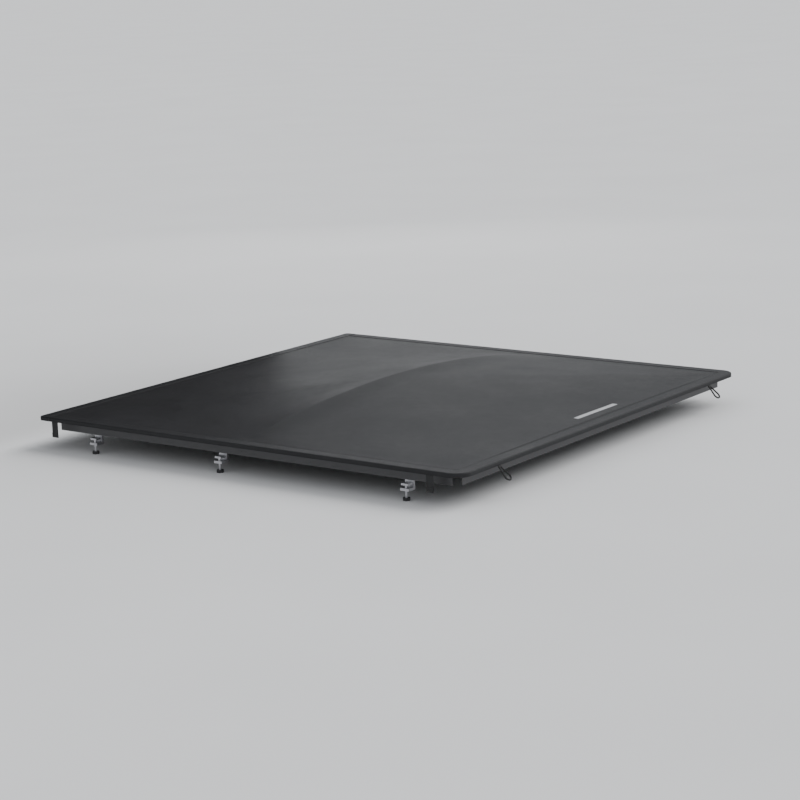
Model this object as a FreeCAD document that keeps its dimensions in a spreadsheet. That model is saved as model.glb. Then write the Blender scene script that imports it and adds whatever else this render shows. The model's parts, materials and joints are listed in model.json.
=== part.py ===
"""Soft clip-on tonneau cover for a dual-cab pickup tub, as an assembly of separate pieces.

Frame: X across the tub (+X is the vehicle's right), Y towards the cab, Z up, millimetres.
The origin is the middle of the front seal's underside, so Z = 0 is the top of the tub rim.
"""
import FreeCAD, Part
import math
import os
import re
import Sketcher
from FreeCAD import Placement, Rotation, Vector

# ---------------------------------------------------------------- driving dimensions
DIMENSIONS = {
    "cover_width": 1620,      # outside of the hem, across the tub
    "cover_length": 1640,     # outside of the hem, along the tub
    "front_edge": 23,         # Y of the front hem
    "rear_radius": 50,        # plan radius of the two rear corners
    "front_radius": 15,       # plan radius of the two front corners
    "sheet_low": 13,          # underside of the flat fabric
    "sheet_thick": 1.5,
    "skirt_thick": 1.1,       # turned-down edge of the fabric
    "skirt_low": 2,
    "strip_start": 1.4,       # sewn-in clip strip, distance in from the hem
    "strip_end": 4.0,
    "strip_low": 3,
    "rail_start": 4.5,        # rail's outer face, distance in from the hem
    "rail_end": 42.5,         # rail's inner face
    "rail_low": 3,
    "rail_top": 12.6,
    "rail_wall": 2,
    "leg_thick": 3,           # leg that hangs inside the tub
    "leg_low": -32,
    "ledge_reach": 4,         # ledge on the leg that the clamps hook over
    "ledge_top": -8,
    "ledge_thick": 3,
    "seal_start": 8,
    "seal_end": 38,
    "corner_reach": 60,       # corner connector's size in plan
    "tongue_reach": 35,
    "tongue_gap": 0.4,
    "tongue_root": 5,         # length of tongue buried in the corner block
    "drill_gap": 0.1,
    "over_cut": 1,            # how far a cutting solid runs past what it cuts
    "screw_radius": 2,
    "screw_length": 16,
    "screw_head_radius": 3.6,
    "screw_head_thick": 2.4,
    "fold_gap": 0.5,          # half the gap between fabric pieces at a fold
    "strip_gap": 0.1,
    "front_fold": -20,        # Y of the fold behind the front rail
    "bow_place": -797,        # Y of the support bow, half-way along
    "arch_span": 745,         # half span of the raised fabric over the bow
    "arch_rise": 64,
    "bow_span": 700,          # half span of the bow's tube
    "bow_drop": 3.0,          # bow's top under the fabric's crest
    "bow_end_top": 18.8,
    "bow_height": 14,
    "bow_depth": 26,
    "bow_wall": 2,
    "sleeve_span": 560,
    "sleeve_gap": 0.4,
    "sleeve_thick": 0.9,
    "end_reach": 736,         # outer end of the bow's end block
    "end_low": 3.5,
    "end_top": 13.9,
    "end_depth": 24,
    "end_tongue": 12,         # tongue's length inside the tube
    "end_overlap": 2,
    "end_tongue_low": 5.7,
    "end_tongue_top": 0.3,
    "end_tongue_gap": 1,
    "plunger_height": 8.7,
    "plunger_radius": 3.5,
    "plunger_bore": 3.58,
    "plunger_tip": 757,
    "plunger_inner": 722,
    "bore_bottom": 704,
    "spring_radius": 2.6,
    "spring_wire": 0.45,
    "spring_pitch": 2.9,
    "spring_gap": 0.2,
    "socket_depth": 20,
    "socket_width": 28,
    "socket_low": -24,
    "socket_top": 12.2,
    "socket_slot": 9,
    "socket_floor": 4.8,
    "socket_fit": 0.2,        # room round the rail's ledge
    "socket_screw_height": -18,
    "socket_screw_offset": 9,
    "clamp_first": -191,      # Y of the front clamps
    "clamp_step": -606,
    "clamp_shift": 90,        # middle clamp stands clear of the bow's socket
    "bracket_width": 30,
    "bracket_gap": 0.2,
    "bracket_start": 22,
    "bracket_plate": 47,
    "bracket_end": 54,
    "bracket_top": -2,
    "foot_top": -54,
    "foot_low": -62,
    "bolt_place": 31,         # bolt's axis, distance in from the hem
    "bolt_radius": 4,
    "bolt_bore": 4.06,
    "bolt_top": -46.3,
    "bolt_low": -82,
    "knob_radius": 11,
    "knob_thick": 9,
    "groove_radius": 3.5,
    "groove_offset": 1.5,
    "jaw_start": 23,
    "jaw_end": 46.6,
    "jaw_width": 24,
    "jaw_top": -40,
    "jaw_low": -46,
    "tab_width": 25,
    "tab_length": 48,
    "tab_thick": 1.6,
    "tab_top": 0.3,
    "tab_start": 1.0,
    "front_tab_place": -47,
    "rear_tab_place": -1507,
    "loop_place": 620,
    "loop_drop": 2.3,         # the loop's root below the tub rim's level
    "loop_radius": 2.6,       # radius of its round section
    "loop_bend": 12,
    "loop_length": 50,
    "loop_foot": 4,
    "loop_angle": 45,
    "loop_inset": 1,          # the loop's root behind the rear edge
}

doc = FreeCAD.newDocument("tonneau_cover")
sheet = doc.addObject("Spreadsheet::Sheet", "Size")
for row, (alias, value) in enumerate(DIMENSIONS.items(), start=1):
    sheet.set(f"A{row}", alias)
    sheet.set(f"B{row}", str(value))
    sheet.setAlias(f"B{row}", alias)
doc.recompute()
size = DIMENSIONS

LEFT, RIGHT = -1, 1
SIDE_NAMES = {LEFT: "left", RIGHT: "right"}
REAR_EDGE = "front_edge - cover_length"
SHEET_TOP = "sheet_low + sheet_thick"
SUB_PARTS = []


# ---------------------------------------------------------------- shared helpers
def sized(text):
    """Every word with an underscore is a cell of the Size sheet."""
    return re.sub(r"[a-z]+(?:_[a-z]+)+", r"Size.\g<0>", str(text))


def drive(thing, path, text):
    """Bind one property of an object to the sheet."""
    thing.setExpression(path, sized(text))


def keep(thing, label):
    """Give a finished sub-part the name that its file takes."""
    thing.Label = label
    SUB_PARTS.append(thing)
    return thing


def from_side(side, inset):
    """X of a place that is inset from the hem on one side."""
    return f"{side} * (cover_width / 2 - ({inset}))"


def side_span(side, outer, inner):
    """Lowest and highest X between two insets on one side."""
    spots = [from_side(side, inner), from_side(side, outer)]
    return spots if side == RIGHT else spots[::-1]


def block(name, x, y, z):
    """A plain box between two corners, each side bound to the sheet."""
    solid = doc.addObject("Part::Box", name)
    for length, axis, (low, high) in (("Length", "x", x), ("Width", "y", y), ("Height", "z", z)):
        drive(solid, length, f"({high}) - ({low})")
        drive(solid, f"Placement.Base.{axis}", low)
    return solid


def rod(name, radius, length, place, direction):
    """A cylinder that starts at place and points along direction."""
    solid = doc.addObject("Part::Cylinder", name)
    solid.Placement.Rotation = Rotation(Vector(0, 0, 1), Vector(*direction))
    drive(solid, "Radius", radius)
    drive(solid, "Height", length)
    for axis, text in zip("xyz", place):
        drive(solid, f"Placement.Base.{axis}", text)
    return solid


def fused(name, pieces):
    """Several solids made into one."""
    whole = doc.addObject("Part::MultiFuse", name)
    whole.Shapes = pieces
    return whole


def grouped(name, pieces):
    """Several separate solids in one sub-part."""
    group = doc.addObject("Part::Compound", name)
    group.Links = pieces
    return group


def cut(name, base, tool):
    """One solid with another taken out of it."""
    result = doc.addObject("Part::Cut", name)
    result.Base = base
    result.Tool = tool
    return result


def sketch_on(body, role, offset="0"):
    """A sketch on one of a body's origin planes, moved along the plane's normal."""
    sketch = body.newObject("Sketcher::SketchObject", f"{body.Name}_sketch")
    plane = next(item for item in body.Origin.OriginFeatures if item.Role == role)
    sketch.AttachmentSupport = [(plane, "")]
    sketch.MapMode = "FlatFace"
    drive(sketch, "AttachmentOffset.Base.z", offset)
    return sketch


def pin_point(sketch, edge, end, place):
    """Bind one end of an edge to a place given as two texts."""
    now = sketch.getPoint(edge, end)
    for kind, start, text in zip(("DistanceX", "DistanceY"), (now.x, now.y), place):
        index = sketch.addConstraint(Sketcher.Constraint(kind, edge, end, start))
        drive(sketch, f"Constraints[{index}]", text)


def outline(sketch, corners, arcs=None):
    """A closed outline. arcs gives the radius text and start numbers of each curved edge."""
    arcs = arcs or {}
    count = len(corners)
    edges = []
    for index, corner in enumerate(corners):
        turn = 2 * math.pi * index / count
        following = 2 * math.pi * (index + 1) / count
        if index in arcs:
            radius, circle, start, end, backwards = arcs[index]
            edges.append(sketch.addGeometry(Part.ArcOfCircle(circle, start, end), False))
        else:
            first = Vector(100 * math.cos(turn), 100 * math.sin(turn), 0)
            second = Vector(100 * math.cos(following), 100 * math.sin(following), 0)
            edges.append(sketch.addGeometry(Part.LineSegment(first, second), False))
    for index, edge in enumerate(edges):
        after = corners[(index + 1) % count]
        backwards = index in arcs and arcs[index][4]
        pin_point(sketch, edge, 2 if backwards else 1, corners[index])
        pin_point(sketch, edge, 1 if backwards else 2, after)
        if index in arcs:
            fixed = sketch.addConstraint(Sketcher.Constraint("Radius", edge, arcs[index][1].Radius))
            drive(sketch, f"Constraints[{fixed}]", arcs[index][0])


def pad(body, sketch, length, both_ways=False):
    """Thicken a sketch into solid material."""
    feature = body.newObject("PartDesign::Pad", f"{body.Name}_pad")
    feature.Profile = sketch
    drive(feature, "Length", length)
    if both_ways:
        feature.SideType = "Symmetric"
    return feature


def round_uprights(body, spots, radius):
    """Round the upright edges that stand at the given plan positions."""
    doc.recompute()
    base = body.Tip
    names = []
    for number, edge in enumerate(base.Shape.Edges, start=1):
        ends = [vertex.Point for vertex in edge.Vertexes]
        if len(ends) < 2 or math.dist(ends[0][:2], ends[1][:2]) > 0.01:
            continue
        if any(math.dist(ends[0][:2], spot) < 0.05 for spot in spots):
            names.append(f"Edge{number}")
    fillet = body.newObject("PartDesign::Fillet", f"{body.Name}_rounding")
    fillet.Base = (base, names)
    drive(fillet, "Radius", radius)
    return fillet


def arch_radius(span, rise):
    """Radius text of an arc from its half span and its rise."""
    return f"(({span}) ^ 2 + ({rise}) ^ 2) / (2 * ({rise}))"


def arch_edge(span, rise, height, span_text, rise_text, backwards=False):
    """An arch over the middle, for outline(). backwards runs it from left to right."""
    radius = (span ** 2 + rise ** 2) / (2 * rise)
    lean = math.asin(span / radius)
    circle = Part.Circle(Vector(0, height + rise - radius, 0), Vector(0, 0, 1), radius)
    start, end = math.pi / 2 - lean, math.pi / 2 + lean
    return (arch_radius(span_text, rise_text), circle, start, end, backwards)


# ---------------------------------------------------------------- rails, corners and seals
SIDE_RAIL_ENDS = ("front_edge - corner_reach", f"{REAR_EDGE} + corner_reach")
END_RAIL_SPAN = "cover_width / 2 - corner_reach"


def rail_outline(place):
    """Rail section: outer corners and the hollow, from the hem inwards."""
    outer = [
        (place("rail_start"), "rail_low"),
        (place("rail_start"), "rail_top"),
        (place("rail_end"), "rail_top"),
        (place("rail_end"), "ledge_top"),
        (place("rail_end + ledge_reach"), "ledge_top"),
        (place("rail_end + ledge_reach"), "ledge_top - ledge_thick"),
        (place("rail_end"), "ledge_top - ledge_thick"),
        (place("rail_end"), "leg_low"),
        (place("rail_end - leg_thick"), "leg_low"),
        (place("rail_end - leg_thick"), "rail_low"),
    ]
    hollow = [
        (place("rail_start + rail_wall"), "rail_low + rail_wall"),
        (place("rail_start + rail_wall"), "rail_top - rail_wall"),
        (place("rail_end - leg_thick - rail_wall"), "rail_top - rail_wall"),
        (place("rail_end - leg_thick - rail_wall"), "rail_low + rail_wall"),
    ]
    return outer, hollow


def rail_blank(name, role, offset, place, length):
    """One length of the extruded rail, before it is drilled."""
    body = doc.addObject("PartDesign::Body", f"{name}_body")
    sketch = sketch_on(body, role, offset)
    for corners in rail_outline(place):
        outline(sketch, corners)
    pad(body, sketch, length)
    return body


SCREW_PLACE = "corner_reach + tongue_reach / 2"
SCREW_HEIGHT = "(rail_low + rail_top) / 2"
CORNER_SCREWS = []
SOCKET_SCREWS = []
for side in (LEFT, RIGHT):
    rail, x, outward = f"{SIDE_NAMES[side]}_rail", from_side(side, "rail_end"), (side, 0, 0)
    for along in (f"front_edge - ({SCREW_PLACE})", f"{REAR_EDGE} + {SCREW_PLACE}"):
        CORNER_SCREWS.append((rail, (x, along, SCREW_HEIGHT), outward))
    for sign in ("-", "+"):
        place = (x, f"bow_place {sign} socket_screw_offset", "socket_screw_height")
        SOCKET_SCREWS.append((rail, place, outward))
END_RAILS = (("front_rail", "front_edge - rail_end", 1), ("rear_rail", f"{REAR_EDGE} + rail_end", -1))
for rail, edge, way in END_RAILS:
    for side in (LEFT, RIGHT):
        CORNER_SCREWS.append((rail, (from_side(side, SCREW_PLACE), edge, SCREW_HEIGHT), (0, way, 0)))


def drilled_rail(name, blank):
    """A rail with its screw holes, drilled from the inner face."""
    depth = "rail_end - rail_start - rail_wall - over_cut"
    drills = []
    for rail, place, way in CORNER_SCREWS + SOCKET_SCREWS:
        if rail == name:
            drills.append(rod(f"{name}_drill", "screw_radius + drill_gap", depth, place, way))
    keep(cut(f"{name}_cut", blank, fused(f"{name}_drills", drills)), name)


for side in (LEFT, RIGHT):
    rail_name = f"{SIDE_NAMES[side]}_rail"
    blank = rail_blank(rail_name, "XZ_Plane", f"-({SIDE_RAIL_ENDS[0]})",
                       lambda inset, side=side: from_side(side, inset),
                       "cover_length - 2 * corner_reach")
    drilled_rail(rail_name, blank)

for rail_name, edge, inward in (("front_rail", "front_edge", "-"), ("rear_rail", REAR_EDGE, "+")):
    blank = rail_blank(rail_name, "YZ_Plane", f"-({END_RAIL_SPAN})",
                       lambda inset, edge=edge, inward=inward: f"{edge} {inward} ({inset})",
                       "cover_width - 2 * corner_reach")
    drilled_rail(rail_name, blank)

for side in (LEFT, RIGHT):
    keep(block(f"{SIDE_NAMES[side]}_seal_strip", side_span(side, "seal_start", "seal_end"),
               SIDE_RAIL_ENDS[::-1], ("0", "rail_low")), f"{SIDE_NAMES[side]}_seal")
END_SEAL_SPAN = (f"-({END_RAIL_SPAN})", END_RAIL_SPAN)
keep(block("front_seal_strip", END_SEAL_SPAN, ("front_edge - seal_end", "front_edge - seal_start"),
           ("0", "rail_low")), "front_seal")
keep(block("rear_seal_strip", END_SEAL_SPAN, (f"{REAR_EDGE} + seal_start", f"{REAR_EDGE} + seal_end"),
           ("0", "rail_low")), "rear_seal")


def corner_connector(name, side, edge, inward, radius):
    """Moulded corner: an L-shaped block with a tongue into each of two rails."""
    body = doc.addObject("PartDesign::Body", f"{name}_body")

    def spot(across, along):
        return (from_side(side, across), f"{edge} {inward} ({along})")

    base = sketch_on(body, "XY_Plane", "rail_low")
    outline(base, [
        spot("rail_start", "rail_start"),
        spot("corner_reach", "rail_start"),
        spot("corner_reach", "rail_end"),
        spot("rail_end", "rail_end"),
        spot("rail_end", "corner_reach"),
        spot("rail_start", "corner_reach"),
    ])
    pad(body, base, "rail_top - rail_low")
    low = "rail_low + rail_wall + tongue_gap"
    near = "rail_start + rail_wall + tongue_gap"
    far = "rail_end - leg_thick - rail_wall - tongue_gap"
    end = "corner_reach + tongue_reach"
    tongue = sketch_on(body, "XY_Plane", low)
    outline(tongue, [spot("corner_reach - tongue_root", near), spot(end, near),
                     spot(end, far), spot("corner_reach - tongue_root", far)])
    outline(tongue, [spot(near, "corner_reach - tongue_root"), spot(near, end),
                     spot(far, end), spot(far, "corner_reach - tongue_root")])
    pad(body, tongue, f"rail_top - rail_wall - tongue_gap - ({low})")
    sign = -1 if inward == "-" else 1
    edge_number = size["front_edge"] if edge == "front_edge" else size["front_edge"] - size["cover_length"]
    upright = (side * (size["cover_width"] / 2 - size["rail_start"]),
               edge_number + sign * size["rail_start"])
    round_uprights(body, [upright], f"{radius} - rail_start")
    holes = []
    for rail, place, way in CORNER_SCREWS:
        holes.append(rod(f"{name}_hole", "screw_radius", "screw_length", place, way))
    keep(cut(f"{name}_cut", body, fused(f"{name}_holes", holes)), name)


for side in (LEFT, RIGHT):
    corner_connector(f"front_{SIDE_NAMES[side]}_corner", side, "front_edge", "-", "front_radius")
    corner_connector(f"rear_{SIDE_NAMES[side]}_corner", side, REAR_EDGE, "+", "rear_radius")


def screw(name, place, way, length):
    """Pan-head screw whose head's underside is at place."""
    back = tuple(-part for part in way)
    shank = rod(f"{name}_shank", "screw_radius", length, place, way)
    head = rod(f"{name}_head", "screw_head_radius", "screw_head_thick", place, back)
    return fused(f"{name}_whole", [shank, head])


keep(grouped("corner_screw_group",
             [screw("corner_screw", place, way, "screw_length") for rail, place, way in CORNER_SCREWS]),
     "corner_screws")


# ---------------------------------------------------------------- fabric and its clip strips
def fabric_section(sketch, raised):
    """Fabric cut across: flat over the rails and, over the bow, arched between them."""
    half = "cover_width / 2"
    low, high = "sheet_low", SHEET_TOP
    corners = [(f"-{half}", low), ("-arch_span", low), ("arch_span", low), (half, low),
               (half, high), ("arch_span", high), ("-arch_span", high), (f"-{half}", high)]
    arcs = {}
    if raised:
        low_height, high_height = size["sheet_low"], size["sheet_low"] + size["sheet_thick"]
        numbers = (size["arch_span"], size["arch_rise"])
        texts = ("arch_span", "arch_rise")
        arcs[1] = arch_edge(*numbers, low_height, *texts, backwards=True)
        arcs[5] = arch_edge(*numbers, high_height, *texts)
    outline(sketch, corners, arcs)


def rounded_plan(name):
    """Tall block with the cover's plan outline, its rear corners rounded."""
    body = doc.addObject("PartDesign::Body", f"{name}_body")
    plan = sketch_on(body, "XY_Plane", "skirt_low")
    half = "cover_width / 2"
    outline(plan, [(f"-{half}", REAR_EDGE), (half, REAR_EDGE),
                   (half, "front_edge"), (f"-{half}", "front_edge")])
    pad(body, plan, "arch_rise * 2")
    rear = size["front_edge"] - size["cover_length"]
    round_uprights(body, [(side * size["cover_width"] / 2, rear) for side in (LEFT, RIGHT)], "rear_radius")
    return body


def fabric_panel(name, flat_at, raised_at, rounded=False):
    """Fabric that rises from a straight edge to the arch over the bow."""
    body = doc.addObject("PartDesign::Body", f"{name}_body")
    flat = sketch_on(body, "XZ_Plane", f"-({flat_at})")
    fabric_section(flat, raised=False)
    crest = sketch_on(body, "XZ_Plane", f"-({raised_at})")
    fabric_section(crest, raised=True)
    loft = body.newObject("PartDesign::AdditiveLoft", f"{name}_loft")
    loft.Profile = flat
    loft.Sections = [crest]
    loft.Ruled = True
    if rounded:
        whole = body
        body = doc.addObject("Part::Common", f"{name}_rounded")
        body.Base = whole
        body.Tool = rounded_plan(f"{name}_plan")
    keep(body, name)


fabric_panel("front_fabric", "front_fold - fold_gap", "bow_place + fold_gap")
fabric_panel("rear_fabric", REAR_EDGE, "bow_place - fold_gap", rounded=True)

front_strip = doc.addObject("PartDesign::Body", "front_strip_body")
strip_plan = sketch_on(front_strip, "XY_Plane", "sheet_low")
outline(strip_plan, [
    ("-cover_width / 2", "front_fold + fold_gap"),
    ("cover_width / 2", "front_fold + fold_gap"),
    ("cover_width / 2", "front_edge"),
    ("-cover_width / 2", "front_edge"),
])
pad(front_strip, strip_plan, "sheet_thick")
half_width = size["cover_width"] / 2
front_ends = [(side * half_width, size["front_edge"]) for side in (LEFT, RIGHT)]
round_uprights(front_strip, front_ends, "front_radius")
keep(front_strip, "front_fabric_strip")


def skirt(name, edge, inward, end, radius):
    """Turned-down edge of the fabric round one end of the cover and back along both sides."""
    body = doc.addObject("PartDesign::Body", f"{name}_body")
    plan = sketch_on(body, "XY_Plane", "skirt_low")
    half, inner = "cover_width / 2", "(cover_width / 2 - skirt_thick)"
    inner_edge = f"{edge} {inward} skirt_thick"
    outline(plan, [(f"-{half}", end), (f"-{half}", edge), (half, edge), (half, end),
                   (inner, end), (inner, inner_edge), (f"-{inner}", inner_edge), (f"-{inner}", end)])
    pad(body, plan, "sheet_low - skirt_low")
    sign = -1 if inward == "-" else 1
    number = size["front_edge"] if edge == "front_edge" else size["front_edge"] - size["cover_length"]
    thick = size["skirt_thick"]
    round_uprights(body, [(side * (half_width - thick), number + sign * thick) for side in (LEFT, RIGHT)],
                   f"{radius} - skirt_thick")
    round_uprights(body, [(side * half_width, number) for side in (LEFT, RIGHT)], radius)
    keep(body, name)


skirt("front_skirt", "front_edge", "-", "front_fold + fold_gap", "front_radius")
skirt("rear_skirt", REAR_EDGE, "+", "bow_place - fold_gap", "rear_radius")

FRONT_SPAN = ("bow_place + fold_gap", "front_fold - fold_gap")
REAR_SPAN = (f"{REAR_EDGE} + rear_radius", "bow_place - fold_gap")
STRIP_HEIGHT = ("strip_low", "sheet_low - strip_gap")
for side in (LEFT, RIGHT):
    word = SIDE_NAMES[side]
    keep(block(f"{word}_skirt_block", side_span(side, "0", "skirt_thick"), FRONT_SPAN,
               ("skirt_low", "sheet_low")), f"{word}_front_skirt")
    inset = side_span(side, "strip_start", "strip_end")
    keep(block(f"{word}_front_strip_block", inset, FRONT_SPAN, STRIP_HEIGHT), f"{word}_front_clip_strip")
    keep(block(f"{word}_rear_strip_block", inset, REAR_SPAN, STRIP_HEIGHT), f"{word}_rear_clip_strip")
END_STRIP_SPAN = ("rear_radius - cover_width / 2", "cover_width / 2 - rear_radius")
keep(block("front_strip_block", END_STRIP_SPAN, ("front_edge - strip_end", "front_edge - strip_start"),
           STRIP_HEIGHT), "front_clip_strip")
keep(block("rear_strip_block", END_STRIP_SPAN, (f"{REAR_EDGE} + strip_start", f"{REAR_EDGE} + strip_end"),
           STRIP_HEIGHT), "rear_clip_strip")

# ---------------------------------------------------------------- support bow
BOW_RISE = "(sheet_low + arch_rise - bow_drop - bow_end_top)"
BOW_RISE_NUMBER = size["sheet_low"] + size["arch_rise"] - size["bow_drop"] - size["bow_end_top"]


def arch_band(sketch, span, span_number, out, out_number):
    """Band between two arches: the bow's section in height, moved out by a distance all round."""
    rise = f"({BOW_RISE} * ({span}) ^ 2 / bow_span ^ 2)"
    rise_number = BOW_RISE_NUMBER * (span_number / size["bow_span"]) ** 2
    top = f"(bow_end_top + {BOW_RISE} - {rise} + ({out}))"
    low = f"(bow_end_top + {BOW_RISE} - {rise} - bow_height - ({out}))"
    end_number = size["bow_end_top"] + BOW_RISE_NUMBER - rise_number
    top_number = end_number + out_number
    low_number = end_number - size["bow_height"] - out_number
    corners = [(f"-({span})", low), (span, low), (span, top), (f"-({span})", top)]
    arcs = {
        0: arch_edge(span_number, rise_number, low_number, span, rise, backwards=True),
        2: arch_edge(span_number, rise_number, top_number, span, rise),
    }
    outline(sketch, corners, arcs)


def arched_tube(name, span, span_number, out, out_number, wall, wall_number, depth):
    """Curved rectangular tube, open at both ends."""
    body = doc.addObject("PartDesign::Body", f"{name}_body")
    outer = sketch_on(body, "XZ_Plane", "-bow_place")
    arch_band(outer, span, span_number, out, out_number)
    pad(body, outer, depth, both_ways=True)
    inner = sketch_on(body, "XZ_Plane", "-bow_place")
    arch_band(inner, span, span_number, f"{out} - {wall}", out_number - wall_number)
    hollow = body.newObject("PartDesign::Pocket", f"{name}_hollow")
    hollow.Profile = inner
    hollow.SideType = "Symmetric"
    drive(hollow, "Length", f"{depth} - 2 * {wall}")
    keep(body, name)


arched_tube("support_bow", "bow_span", size["bow_span"], "0", 0,
            "bow_wall", size["bow_wall"], "bow_depth")
arched_tube("bow_sleeve", "sleeve_span", size["sleeve_span"], "sleeve_gap + sleeve_thick",
            size["sleeve_gap"] + size["sleeve_thick"], "sleeve_thick", size["sleeve_thick"],
            "bow_depth + 2 * (sleeve_gap + sleeve_thick)")


def mirrored(side, near, far):
    """Lowest and highest X between two distances from the middle, on one side."""
    return (near, far) if side == RIGHT else (f"-({far})", f"-({near})")


def about_bow(depth):
    """Lowest and highest Y of something centred on the bow."""
    return (f"bow_place - ({depth}) / 2", f"bow_place + ({depth}) / 2")


def bow_end(side):
    """Moulded end block: a tongue inside the tube and a bore for the plunger."""
    name = f"{SIDE_NAMES[side]}_bow_end"
    body = block(f"{name}_block", mirrored(side, "bow_span", "end_reach"), about_bow("end_depth"),
                 ("end_low", "end_top"))
    tongue = block(f"{name}_tongue", mirrored(side, "bow_span - end_tongue", "bow_span + end_overlap"),
                   about_bow("bow_depth - 2 * bow_wall - end_tongue_gap"),
                   ("end_low + end_tongue_low", "end_top - end_tongue_top"))
    whole = fused(f"{name}_whole", [body, tongue])
    bore = rod(f"{name}_bore", "plunger_bore", "end_reach - bore_bottom + over_cut",
               (f"{side} * bore_bottom", "bow_place", "plunger_height"), (side, 0, 0))
    keep(cut(f"{name}_cut", whole, bore), name)


def bow_plunger(side):
    """Sprung pin with a domed tip that drops into the socket."""
    name = f"{SIDE_NAMES[side]}_bow_plunger"
    shank = rod(f"{name}_shank", "plunger_radius", "plunger_tip - plunger_radius - plunger_inner",
                (f"{side} * plunger_inner", "bow_place", "plunger_height"), (side, 0, 0))
    dome = doc.addObject("Part::Sphere", f"{name}_dome")
    drive(dome, "Radius", "plunger_radius")
    drive(dome, "Placement.Base.x", f"{side} * (plunger_tip - plunger_radius)")
    drive(dome, "Placement.Base.y", "bow_place")
    drive(dome, "Placement.Base.z", "plunger_height")
    keep(fused(f"{name}_whole", [shank, dome]), name)


def bow_spring(side):
    """Coil spring behind the plunger, a wire swept along a helix."""
    height = size["plunger_inner"] - size["bore_bottom"] - 2 * (size["spring_wire"] + size["spring_gap"])
    path = Part.makeHelix(size["spring_pitch"], height, size["spring_radius"])
    middle = Vector(size["spring_radius"], 0, 0)
    wire = Part.Wire([Part.makeCircle(size["spring_wire"], middle, Vector(0, 1, 0))])
    coil = Part.Wire(path).makePipeShell([wire], True, True)
    spring = doc.addObject("Part::Feature", f"{SIDE_NAMES[side]}_spring_coil")
    spring.Shape = coil
    first_turn = size["bore_bottom"] + size["spring_wire"] + size["spring_gap"]
    start = Vector(side * first_turn, size["bow_place"], size["plunger_height"])
    spring.Placement = Placement(start, Rotation(Vector(0, 0, 1), Vector(side, 0, 0)))
    keep(spring, f"{SIDE_NAMES[side]}_bow_spring")


def bow_socket(side):
    """Saddle on the rail's leg with a slot, open at the top, for the plunger's tip."""
    name = f"{SIDE_NAMES[side]}_bow_socket"
    inner_face = "cover_width / 2 - rail_end"
    body = block(f"{name}_block", mirrored(side, f"{inner_face} - socket_depth", inner_face),
                 about_bow("socket_width"), ("socket_low", "socket_top"))
    past = f"{inner_face} + over_cut"
    slot = block(f"{name}_slot", mirrored(side, f"{inner_face} - socket_depth - over_cut", past),
                 about_bow("socket_slot"), ("socket_floor", "socket_top + over_cut"))
    ledge = block(f"{name}_ledge_slot", mirrored(side, f"{inner_face} - ledge_reach - socket_fit", past),
                  about_bow("socket_width + 2 * over_cut"),
                  ("ledge_top - ledge_thick - socket_fit", "ledge_top + socket_fit"))
    hollows = [slot, ledge]
    inward = (-side, 0, 0)
    for rail, place, way in SOCKET_SCREWS:
        hollows.append(rod(f"{name}_hole", "screw_radius", "socket_depth + over_cut", place, inward))
    keep(cut(f"{name}_cut", body, fused(f"{name}_hollows", hollows)), name)


for side in (LEFT, RIGHT):
    bow_end(side)
    bow_plunger(side)
    bow_spring(side)
    bow_socket(side)

socket_screws = []
for rail, (x, y, z), way in SOCKET_SCREWS:
    head_place = (f"{x} - ({way[0]}) * socket_depth", y, z)
    socket_screws.append(screw("socket_screw", head_place, way, "socket_depth + leg_thick"))
keep(grouped("socket_screw_group", socket_screws), "bow_socket_screws")

# ---------------------------------------------------------------- clamps
CLAMPS_PER_SIDE = 3
KNOB_LOBES = 6


def clamp_bracket(name, side, along):
    """Hooked bracket: over the rail's ledge at the top, a foot for the bolt below."""
    body = doc.addObject("PartDesign::Body", f"{name}_body")
    sketch = sketch_on(body, "XZ_Plane", f"-({along})")
    hook_low = "ledge_top + bracket_gap"
    outline(sketch, [
        (from_side(side, "rail_end + bracket_gap"), "bracket_top"),
        (from_side(side, "bracket_end"), "bracket_top"),
        (from_side(side, "bracket_end"), "foot_low"),
        (from_side(side, "bracket_start"), "foot_low"),
        (from_side(side, "bracket_start"), "foot_top"),
        (from_side(side, "bracket_plate"), "foot_top"),
        (from_side(side, "bracket_plate"), hook_low),
        (from_side(side, "rail_end + bracket_gap"), hook_low),
    ])
    pad(body, sketch, "bracket_width", both_ways=True)
    bore = rod(f"{name}_bore", "bolt_bore", "foot_top - foot_low + 2 * over_cut",
               (from_side(side, "bolt_place"), along, "foot_low - over_cut"), (0, 0, 1))
    return cut(f"{name}_cut", body, bore)


def clamp_bolt(name, side, along):
    """Bolt with a lobed hand knob."""
    x = from_side(side, "bolt_place")
    shank = rod(f"{name}_shank", "bolt_radius", "bolt_top - bolt_low", (x, along, "bolt_low"), (0, 0, 1))
    knob = rod(f"{name}_knob", "knob_radius", "knob_thick", (x, along, "bolt_low - knob_thick"), (0, 0, 1))
    whole = fused(f"{name}_whole", [shank, knob])
    grooves = []
    for index in range(KNOB_LOBES):
        turn = 2 * math.pi * index / KNOB_LOBES
        spot = (f"{x} + {math.cos(turn):.6f} * (knob_radius + groove_offset)",
                f"{along} + {math.sin(turn):.6f} * (knob_radius + groove_offset)",
                "bolt_low - knob_thick - over_cut")
        grooves.append(rod(f"{name}_groove", "groove_radius", "knob_thick + 2 * over_cut", spot, (0, 0, 1)))
    keep(cut(f"{name}_cut", whole, fused(f"{name}_grooves", grooves)), name)


def clamp_jaw(name, side, along):
    """Jaw that the bolt pushes up under the tub's flange."""
    jaw = block(f"{name}_block", side_span(side, "jaw_start", "jaw_end"),
                (f"{along} - jaw_width / 2", f"{along} + jaw_width / 2"), ("jaw_low", "jaw_top"))
    keep(jaw, name)


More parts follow.
